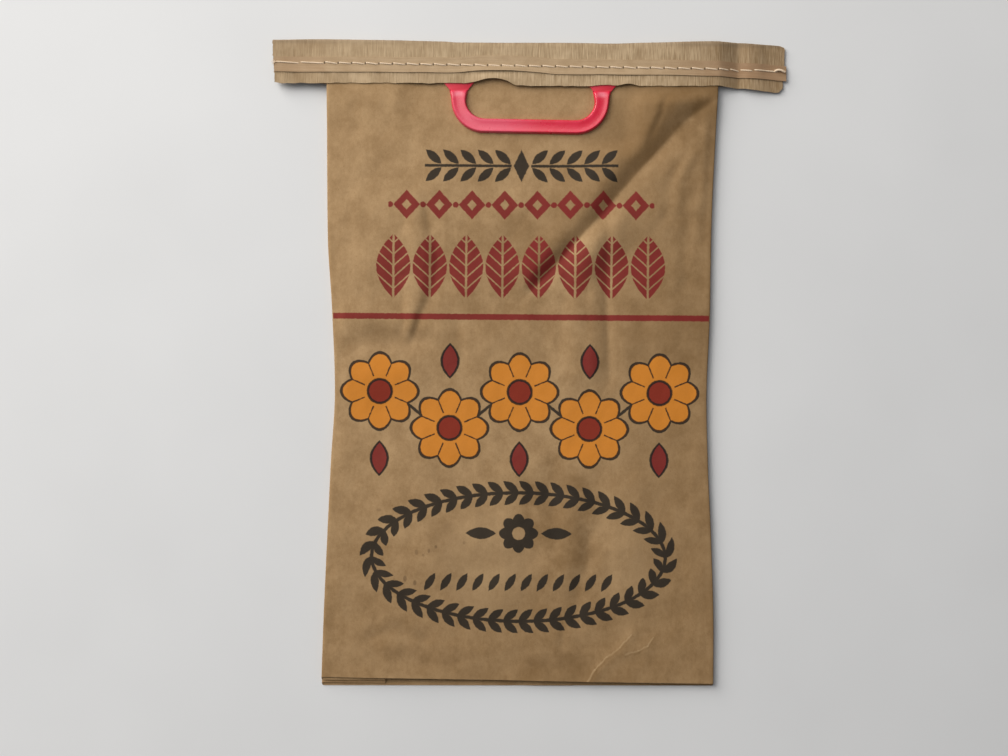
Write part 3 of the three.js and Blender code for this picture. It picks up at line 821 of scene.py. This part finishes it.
tape_x = np.linspace(-TAPE_END, TAPE_END, TAPE_STEPS + 1)[:, None]
tape = tape_at(tape_x)
rise = np.linspace(0, 1, BACK_LEAF_STEPS + 1)[None, :-1]
bow = np.linspace(0, math.pi, BEND_STEPS + 1)[None, :]
fall = np.linspace(0, 1, FACE_STEPS + 1)[None, 1:]
bend = (tape["face"] - tape["back"]) / 2
fold_y = SACK_TOP - tape["fold"] - TAPE / 2 - bend
back_edge = SACK_TOP - TAPE_BACK_DEPTH + ripples(tape_x, 0, height=0.25, longest=30, count=6, seed=21)
face_edge = SACK_TOP - tape["edge"] + ripples(tape_x, 0, height=0.22, longest=16, count=8, seed=3)
strip_edge = SACK_TOP - tape["strip"]
back_y = back_edge + (fold_y - back_edge) * rise
face_y = fold_y + (face_edge - fold_y) * fall
below_strip = 1 - ease(face_y, strip_edge - 1, strip_edge + 1)
face_z = tape["face"] + tape["curl"] * ease(face_y, strip_edge, face_edge)
face_z = face_z + below_strip * ripples(tape_x, face_y, height=0.12, longest=22, count=6, seed=8)
tape_y = np.concatenate([back_y, fold_y + bend * np.sin(bow), face_y], axis=1)
tape_z = np.concatenate([tape["back"] + 0 * rise, tape["back"] + bend * (1 - np.cos(bow)), face_z], axis=1)
left_cut = LEFT_TRIM[0] + LEFT_TRIM[1] * ease(SACK_TOP - tape_y, 4, 32)
right_cut = RIGHT_TRIM[0] + RIGHT_TRIM[1] * ease(strip_edge - tape_y, -8, 2)
trim = ease(-tape_x, TAIL_START, TAPE_END) * left_cut - ease(tape_x, TAIL_START, TAPE_END) * right_cut
jagged = ripples(tape_y, 0, height=0.3, longest=7, count=5, seed=6)
trim = trim + ease(np.abs(tape_x), JAGGED_START, TAPE_END) * jagged
tape_grid = np.stack([tape_x + trim, tape_y, tape_z], axis=-1)
round_fold = np.cumsum(np.hypot(np.diff(tape_y), np.diff(tape_z)), axis=1)
round_fold = np.concatenate([np.zeros_like(tape_x), round_fold], axis=1)
tape_web = np.stack([np.broadcast_to(tape_x, tape_y.shape), round_fold], axis=-1)

# The row of stitches: its distances below the sack's top at both ends, the first of its even stitches, their
# pitch and number, the ends of the uneven stitches through the tails, and the needle's holes
STITCH_DROP = (17.2, 20.2)
FIRST_STITCH = -146
STITCH_PITCH = 9.69
STITCH_COUNT = 30
LEFT_TAIL_STITCHES = (-181.3, -163.8)
RIGHT_TAIL_STITCHES = (143.4, 151, 160.5, 179)
HOLE_HALF_LENGTH = 0.6
HOLE_HALF_WIDTH = 0.95
HOLES_REACH = 143


def stitch_line(x):
    """How high the stitches lie at places along the tape, in millimetres."""
    return SACK_TOP - STITCH_DROP[0] - (STITCH_DROP[1] - STITCH_DROP[0]) * (x + TAPE_END) / (2 * TAPE_END)


def needle_holes(shade):
    """Needle holes at the ends of the stitches over the sack, painted dark as the shade inside them."""
    x, y = (part / MM for part in shade.place().parts()[:2])
    along = repeated(x - FIRST_STITCH + STITCH_PITCH / 2, STITCH_PITCH) / HOLE_HALF_LENGTH
    across = (y - stitch_line(x)) / HOLE_HALF_WIDTH
    over_sack = (abs(x - TUBE_MIDDLE) - HOLES_REACH).ramp(0.5, -0.5)
    return (along * along + across * across).ramp(1.3, 0.5) * over_sack


def tail_tone(web):
    """How much darker the tape and its strip are towards their two tails."""
    along = web.parts()[0] / MM
    return along.ramp(85, 150) * 0.37 + along.ramp(-143, -147) * 0.13 + along.ramp(-147, -172) * 0.06


crepe, shade, feed = new_material("crepe_paper", Roughness=0.9, Specular_IOR_Level=0.25)
web = shade.web()
ribs = web.stretched(1, 0.07).noise(1150)
broad_ribs = web.stretched(1, 0.1).noise(420, 2, 0.55)
cloud = web.noise(70, 4, 0.6)
rib_depth = (web.parts()[0] / MM).ramp(-90, 120) * 0.32 + 0.28
tone = (ribs - 0.5) * rib_depth + (broad_ribs - 0.5) * 0.14 + (cloud - 0.5) * 0.32
paint = tone.ramp(-0.19, 0.19).mix(colour(144, 120, 89), colour(195, 171, 138))
paint = tail_tone(web).mix(paint, DARK_TONE_AND_SHADE)
# Darker towards the tape's folded top edge
darker_along_fold = (shade.place().parts()[1] / MM).ramp(SACK_TOP - 5, SACK_TOP - 1.5)
paint = (darker_along_fold * 0.4).mix(paint, colour(112, 98, 82))
feed("Base Color", (needle_holes(shade) * 0.7).mix(paint, colour(52, 38, 26)))
feed("Normal", (ribs * 0.7 + broad_ribs * 0.45).bump(0.6, 0.6))

crepe_tape = sheet_piece("crepe_tape", tape_grid, tape_web, TAPE, [crepe])
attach(crepe_tape, "root")
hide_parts("closing_tape")

# The pull strip
# A narrow strip of smooth paper laid along the tape's front under the stitches, which hold it. Pulled from
# one end it tears the sewing open; its lower edge stands a little off the tape.
STRIP = 0.3
STRIP_START = -182
STRIP_END = 184.4
STRIP_WIDTH = 10.8
STRIP_COLUMNS = 10
STRIP_ROOM = 0.06
strip_x = np.linspace(STRIP_START, STRIP_END, TAPE_STEPS + 1)[:, None]
under = tape_at(strip_x)
across = np.linspace(0, 1, STRIP_COLUMNS)[None, :]
strip_y = SACK_TOP - under["strip"] + STRIP_WIDTH * (1 - across)
strip_y = strip_y + ripples(strip_x, 0, height=0.12, longest=34, count=6, seed=14)
stand_off = (0.35 + 0.55 * under["curl"]) * ease(across, 0.55, 1)
strip_z = under["face"] + (TAPE + STRIP) / 2 + STRIP_ROOM + stand_off
strip_x = np.broadcast_to(strip_x, strip_y.shape)
strip_grid = np.stack([strip_x, strip_y, strip_z], axis=-1)
strip_web = np.stack([strip_x, np.broadcast_to(across * STRIP_WIDTH, strip_y.shape)], axis=-1)

strip_paper, shade, feed = new_material("strip_paper", Roughness=0.82, Specular_IOR_Level=0.3)
web = shade.web()
lines = web.stretched(0.03, 1).noise(900)
tone = lines * 0.3 + web.noise(90, 4, 0.6) * 0.45 + web.noise(1600) * 0.25
paint = tone.ramp(0.3, 0.7).mix(colour(160, 134, 102), colour(184, 159, 127))
paint = (tail_tone(web) * 1.15).mix(paint, colour(112, 68, 36))
feed("Base Color", (needle_holes(shade) * 0.75).mix(paint, colour(48, 35, 24)))
feed("Normal", lines.bump(0.2, 0.5))

tear_strip = sheet_piece("tear_strip", strip_grid, strip_web, STRIP, [strip_paper])
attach(tear_strip, "root")
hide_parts("pull_strip")

# The carrying handle
# Moulded in one piece from red plastic: a bar and two legs of one shallow channel section, and a thin flange
# with a flared tongue down to each leg. The flange lies under the tape, where the sewing holds it.
HANDLE_BASE = handle_low.z
HANDLE_HEIGHT = handle_high.z - handle_low.z
LEG_X = 51.2
LEG_HALF = 5.4
BAR_HALF = 5.25
BAR_SAG = math.radians(0.6)
CORNER_RADIUS = 18.5
CORNER_STEPS = 14
WALL_DRAFT = 0.9
EDGE_ROUNDING = 0.6
RIM_ROUNDING = 0.25
NECK_Y = 188.45
NECK_END = NECK_Y + 0.8
FLANGE_LOW = 207
FLANGE_HIGH = handle_high.y
FLANGE_HEIGHT = 1.2
TONGUE_TOP_HALF = 11.8
TONGUE_LEANS = (-0.3, 0.9)
NEAR = 0.05

# The channel in the section's top: places across it and their depths
DISH = ((-3.8, 0), (-2.6, 0.28), (-1.4, 0.37), (0.6, 0.37), (2.2, 0.22), (3.8, 0))

# Each leg from its neck up: steps, then half its width and the share of its height after each
LEG_STEPS = ((1.6, 5.65, 1), (1.6, 5.9, 0.97), (1.6, 6.2, 0.86), (1.2, 6.5, 0.74), (1, 6.6, 0.36))

# Each tongue from the flange down: steps, then half its width after each
TONGUE_STEPS = ((3.6, 11.5), (2.6, 10.7), (2, 9.1), (1.8, 7.5), (1.7, 6.6))


def pick(piece, kind, test):
    """Picks the corners or faces of a piece that pass a test, and leaves it in edit mode."""
    bpy.ops.object.mode_set(mode="EDIT")
    bpy.ops.mesh.select_mode(type=kind)
    bpy.ops.mesh.select_all(action="DESELECT")
    bpy.ops.object.mode_set(mode="OBJECT")
    for item in piece.data.vertices if kind == "VERT" else piece.data.polygons:
        item.select = bool(test(item))
    bpy.ops.object.mode_set(mode="EDIT")


def cut_across(x):
    """Cuts the whole piece across X and keeps both sides."""
    bpy.ops.mesh.select_all(action="SELECT")
    bpy.ops.mesh.bisect(plane_co=(x * MM, 0, 0), plane_no=(1, 0, 0))


def draw_out(x, y, z):
    """Draws the picked faces out, in millimetres."""
    bpy.ops.mesh.extrude_region_move(TRANSFORM_OT_translate={"value": (x * MM, y * MM, z * MM)})


def swell(x, y, z, centre):
    """Widens what is picked by three factors from a centre."""
    bpy.ops.transform.resize(value=(x, y, z), center_override=Vector(centre) * MM)


def turn_corner(centre_x):
    """Sweeps the picked section through a quarter turn."""
    centre = (centre_x * MM, NECK_Y * MM, 0)
    bpy.ops.mesh.spin(steps=CORNER_STEPS, angle=-math.pi / 2, center=centre, axis=(0, 0, 1))


def face_outwards():
    """Turns all faces of the piece outwards, and leaves edit mode."""
    bpy.ops.mesh.select_all(action="SELECT")
    bpy.ops.mesh.normals_make_consistent(inside=False)
    bpy.ops.object.mode_set(mode="OBJECT")


left_leg = HANDLE_MIDDLE - LEG_X
right_leg = HANDLE_MIDDLE + LEG_X
section_centre = Vector((left_leg, NECK_Y, HANDLE_BASE + HANDLE_HEIGHT / 2)) * MM
bpy.ops.mesh.primitive_plane_add(size=1, location=section_centre, rotation=(math.pi / 2, 0, 0))
red_handle = bpy.context.object
red_handle.name = "red_handle"
red_handle.scale = (2 * LEG_HALF * MM, HANDLE_HEIGHT * MM, 1)
bpy.ops.object.transform_apply(location=True, rotation=True, scale=True)
pick(red_handle, "VERT", lambda v: v.co.z > section_centre.z)
swell(1 - WALL_DRAFT / LEG_HALF, 1, 1, (left_leg, 0, 0))
bpy.ops.mesh.bevel(offset=EDGE_ROUNDING * MM, segments=5, affect="VERTICES")
for cut, _ in DISH:
    cut_across(left_leg + cut)
roof = (HANDLE_BASE + HANDLE_HEIGHT - NEAR) * MM
for cut, depth in DISH:
    pick(red_handle, "VERT", lambda v: v.co.z > roof and abs(v.co.x / MM - left_leg - cut) < NEAR)
    bpy.ops.transform.translate(value=(0, 0, -depth * MM))
bpy.ops.mesh.select_mode(type="FACE")
bpy.ops.mesh.select_all(action="SELECT")
turn_corner(left_leg + CORNER_RADIUS)
swell(1, BAR_HALF / LEG_HALF, 1, (0, NECK_Y - CORNER_RADIUS, 0))
draw_out(2 * (LEG_X - CORNER_RADIUS), 0, 0)
turn_corner(right_leg - CORNER_RADIUS)
swell(LEG_HALF / BAR_HALF, 1, 1, (right_leg, 0, 0))
for leg in (left_leg, right_leg):
    pick(red_handle, "FACE", lambda f: f.normal.y > 0.9 and abs(f.center.x / MM - leg) < LEG_HALF)
    half, height = LEG_HALF, 1
    for step_up, next_half, next_height in LEG_STEPS:
        draw_out(0, step_up, 0)
        swell(next_half / half, 1, next_height / height, (leg, 0, HANDLE_BASE))
        half, height = next_half, next_height
pick(red_handle, "VERT", lambda v: v.co.y / MM < NECK_END)
bar_pivot = Vector((HANDLE_MIDDLE, NECK_Y, 0)) * MM
bpy.ops.transform.rotate(value=BAR_SAG, orient_axis="Z", center_override=bar_pivot)
bpy.ops.mesh.select_all(action="SELECT")
bpy.ops.mesh.remove_doubles(threshold=0.01 * MM)
face_outwards()

flange_y = (FLANGE_LOW + FLANGE_HIGH) / 2
flange_z = HANDLE_BASE + FLANGE_HEIGHT / 2
bpy.ops.mesh.primitive_cube_add(size=1, location=Vector((HANDLE_MIDDLE, flange_y, flange_z)) * MM)
flange = bpy.context.object
flange.scale = Vector((handle_high.x - handle_low.x, FLANGE_HIGH - FLANGE_LOW, FLANGE_HEIGHT)) * MM
bpy.ops.object.transform_apply(location=True, rotation=True, scale=True)
bpy.ops.object.mode_set(mode="EDIT")
tongue_roots = [leg + lean for leg, lean in zip((left_leg, right_leg), TONGUE_LEANS)]
tongue_length = sum(step_down for step_down, _ in TONGUE_STEPS)
for root in tongue_roots:
    cut_across(root - TONGUE_TOP_HALF)
    cut_across(root + TONGUE_TOP_HALF)
for root, lean in zip(tongue_roots, TONGUE_LEANS):
    pick(flange, "FACE", lambda f: f.normal.y < -0.9 and abs(f.center.x / MM - root) < TONGUE_TOP_HALF / 2)
    half, middle_x = TONGUE_TOP_HALF, root
    for step_down, next_half in TONGUE_STEPS:
        aside = -lean * step_down / tongue_length
        draw_out(aside, -step_down, 0)
        middle_x += aside
        swell(next_half / half, 1, 1, (middle_x, 0, 0))
        half = next_half
face_outwards()

take_up(red_handle)
union = red_handle.modifiers.new("flange", "BOOLEAN")
union.operation = "UNION"
union.object = flange
bpy.ops.object.modifier_apply(modifier=union.name)
bpy.data.objects.remove(flange)
rounding = red_handle.modifiers.new("rounding", "BEVEL")
rounding.width = RIM_ROUNDING * MM
rounding.segments = 2
rounding.limit_method = "ANGLE"
rounding.angle_limit = math.radians(50)
bpy.ops.object.modifier_apply(modifier=rounding.name)
bpy.ops.object.shade_smooth_by_angle(angle=math.radians(40))

plastic, shade, feed = new_material("red_plastic", Specular_IOR_Level=0.7)
place = shade.place()
x, y = (part / MM for part in place.parts()[:2])
haze = place.noise(160, 3, 0.6)
paint = haze.ramp(0.3, 0.7).mix(colour(210, 20, 53), colour(218, 31, 66))
# Painted sheen: paler pink over the handle's left half, where its gloss would mirror the light
painted_sheen = (x + (haze - 0.5) * 30).ramp(14, -22) * (y.ramp(186, 174) * 0.5 + 0.5)
paint = (painted_sheen * 0.55).mix(paint, colour(224, 90, 116))
off_leg = abs(abs(x - HANDLE_MIDDLE) - LEG_X)
# Painted highlight on the slope of each leg just below its hinge
painted_hinge_highlight = y.ramp(189.5, 193) * y.ramp(195.6, 193.8) * off_leg.ramp(5.5, 0.5)
paint = (painted_hinge_highlight * 0.5).mix(paint, colour(234, 150, 164))
flange_face = y.ramp(194.4, 196)
feed("Base Color", (flange_face * 0.8).mix(paint, colour(204, 14, 44)))
feed("Roughness", place.noise(300, 3, 0.6) * 0.12 + flange_face * 0.3 + 0.23)
feed("Normal", place.noise(700).bump(0.2, 0.25))
red_handle.data.materials.clear()
red_handle.data.materials.append(plastic)
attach(red_handle, "root")
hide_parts("handle")

# The sewing
# Thick cream cotton thread in one line of chain stitch through strip, tape, flange and paper: long straight
# stitches in front, linked loops behind, and a loose end left at the finish of the seam.
STITCH_SHIFT = 0.45
STITCH_GAP = 1.3
STITCH_TILT = -0.9
LOOP_SPREAD = 0.75
LOOP_DEPTH = 0.3
LOOSE_START = 176
LOOSE_LENGTH = 7.5
FRAY_START = -180.5
FRAY_LENGTH = 3
FRAYED_ENDS = 5

# The threads' half widths and half heights, and the sides of the frayed one
THREAD = (0.46, 0.32)
LOOP_THREAD = (0.4, 0.22)
LOOSE_THREAD = (0.8, 0.6)
FRAYED_THREAD = (0.22, 0.2, 5)

cord_points, cord_faces = [], []


def lay_cord(x, y, z, half_width, half_height, sides=8):
    """Adds a closed cord along a path, in millimetres, to the thread."""
    path = np.stack([x, y, z], axis=1)
    tangent = np.gradient(path, axis=0)
    tangent /= np.linalg.norm(tangent, axis=1, keepdims=True)
    side = np.cross(tangent, (0, 0, 1))
    side /= np.linalg.norm(side, axis=1, keepdims=True)
    over = np.cross(side, tangent)
    start = len(cord_points)
    for step in range(sides):
        angle = 2 * math.pi * step / sides
        round_path = side * (math.cos(angle) * half_width) + over * (math.sin(angle) * half_height)
        cord_points.extend(path + round_path)
    count = len(path)
    for step in range(sides):
        a, b = start + step * count, start + (step + 1) % sides * count
        cord_faces.extend((a + i, b + i, b + i + 1, a + i + 1) for i in range(count - 1))
    cord_faces.append([start + step * count for step in reversed(range(sides))])
    cord_faces.append([start + step * count + count - 1 for step in range(sides)])


def strip_face(x):
    """Height of the strip's face along the stitches."""
    return tape_at(x)["face"] + TAPE / 2 + STRIP_ROOM + STRIP


even_stitches = [FIRST_STITCH + STITCH_PITCH * number for number in range(STITCH_COUNT)]
stitch_ends = [*LEFT_TAIL_STITCHES, *even_stitches, *RIGHT_TAIL_STITCHES]
share = np.linspace(0, 1, 17)
for number, (start, end) in enumerate(zip(stitch_ends, stitch_ends[1:])):
    x = start + STITCH_SHIFT + (end - start - STITCH_GAP) * share
    tilt = 0.25 * math.sin(number * 2.3) + STITCH_TILT
    z = strip_face(x) + THREAD[1] * (1.9 * np.sin(math.pi * share) ** 0.3 - 1)
    lay_cord(x, stitch_line(x) + tilt * (share - 0.5), z, *THREAD)
    loop_z = np.maximum(tape_at(x)["back"] - TAPE / 2 - LOOP_DEPTH, LOOP_DEPTH)
    for branch in (-1, 1):
        loop_y = stitch_line(x) + branch * LOOP_SPREAD * np.sin(math.pi * share) ** 0.6
        lay_cord(x - 1 + 2.4 * share, loop_y, loop_z, *LOOP_THREAD)

share = np.linspace(0, 1, 12)
x = LOOSE_START + LOOSE_LENGTH * share
y = stitch_line(x) + 0.8 * np.sin(share * 4)
lay_cord(x, y, strip_face(x) + 0.5 + 0.9 * np.sin(share * 2.6), *LOOSE_THREAD)

share = np.linspace(0, 1, 8)
for number in range(FRAYED_ENDS):
    x = FRAY_START - (FRAY_LENGTH + 0.7 * math.sin(number * 4.1)) * share
    y = stitch_line(x) + (number - 2) * 0.7 * share + 0.3 * np.sin(share * 5 + number)
    z = strip_face(x) + 0.35 + 0.5 * share * math.sin(number * 2.9) ** 2
    lay_cord(x, y, z, *FRAYED_THREAD)

thread_mesh = bpy.data.meshes.new("sewing_thread")
thread_mesh.from_pydata(np.array(cord_points) * MM, [], cord_faces)
sewing_thread = bpy.data.objects.new("sewing_thread", thread_mesh)
bpy.context.collection.objects.link(sewing_thread)
take_up(sewing_thread)
bpy.ops.object.mode_set(mode="EDIT")
face_outwards()
bpy.ops.object.shade_smooth_by_angle(angle=math.radians(60))

cotton, shade, feed = new_material("cotton_thread", Roughness=0.9)
place = shade.place()
x, y, _ = place.parts()
ply = ((x + y * 1.6) * 5200).sine() * 0.5 + 0.5
tone = ply * 0.45 + place.noise(260, 3, 0.6) * 0.55
feed("Base Color", tone.ramp(0.2, 0.8).mix(colour(216, 188, 156), colour(245, 226, 200)))
feed("Normal", ply.bump(0.3, 0.6))
thread_mesh.materials.append(cotton)
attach(sewing_thread, "root")
